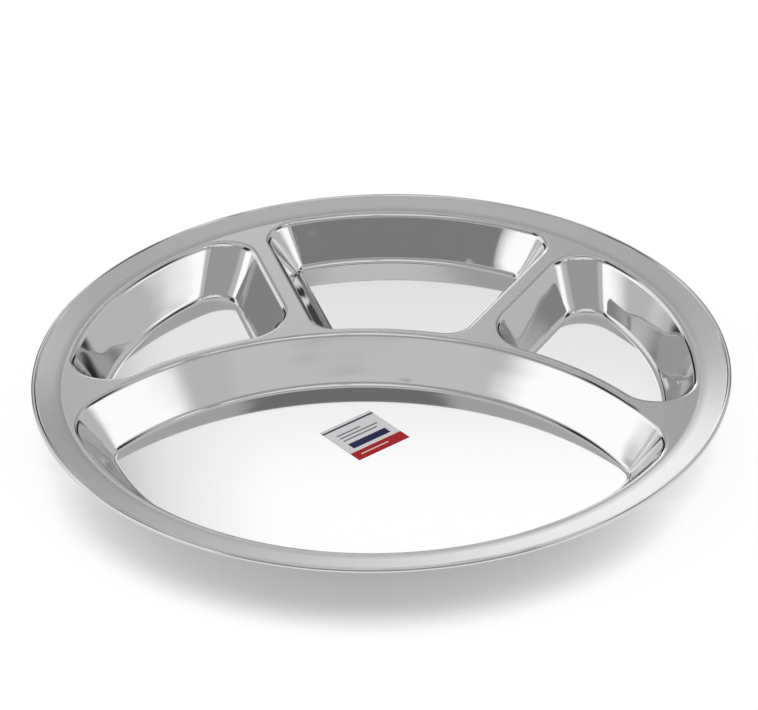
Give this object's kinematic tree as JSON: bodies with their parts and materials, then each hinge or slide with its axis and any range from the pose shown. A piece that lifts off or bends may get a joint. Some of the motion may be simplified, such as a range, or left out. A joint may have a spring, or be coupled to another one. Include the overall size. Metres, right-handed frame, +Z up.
{
  "type": "thali plate",
  "caption": "Round serving plate pressed from polished steel, with a large well in front of smaller side-dish wells, a rising flange and a curled edge.",
  "frame": {"origin": "under the middle of the plate, on the surface that it stands on", "axes": "+Z up, -Y towards the large well, +Y towards the small wells, the tray mirrors about the YZ plane"},
  "size_m": [0.331, 0.331, 0.0232],
  "materials": {
    "polished_steel": "polished stainless steel with fine buffing marks",
    "label_paper": "coated paper, printed"
  },
  "bodies": {
    "root": {"pressed_tray": "polished_steel", "blank_label": "label_paper"}
  },
  "joints": []
}
